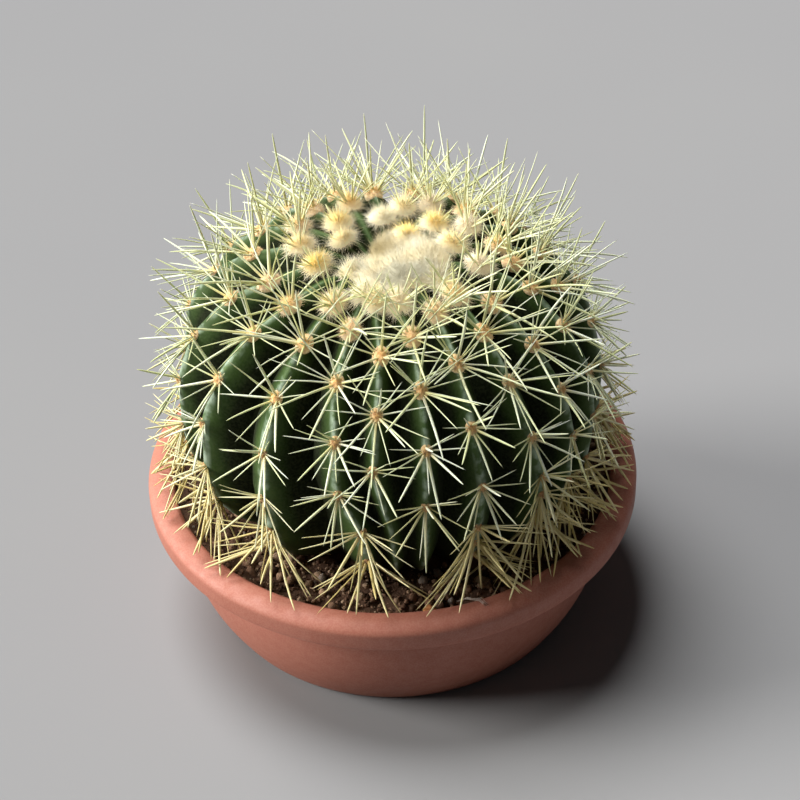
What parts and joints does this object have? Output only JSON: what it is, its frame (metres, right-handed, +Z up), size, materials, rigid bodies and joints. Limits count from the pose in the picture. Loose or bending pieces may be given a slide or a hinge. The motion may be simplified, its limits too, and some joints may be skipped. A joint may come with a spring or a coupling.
{
  "type": "potted round cactus",
  "caption": "Round ribbed cactus with long pale spines and a woolly crown, growing in soil in a low terracotta bowl pot with a rim collar.",
  "frame": {"origin": "centre of the pot's foot, on the surface that the pot stands on", "axes": "+Z up through the middle of the pot and the plant, -Y towards the side that the picture shows, +X to the right of it"},
  "size_m": [0.1996, 0.2, 0.1881],
  "materials": {
    "terracotta": "matte fired clay, unglazed",
    "soil": "rough, crumbly",
    "plant": "waxy green skin with pale cream spines",
    "wool": "soft felted wool"
  },
  "bodies": {
    "root": {"pot": "terracotta", "soil": "soil", "cactus": "plant", "crown_wool": "wool"}
  },
  "joints": []
}
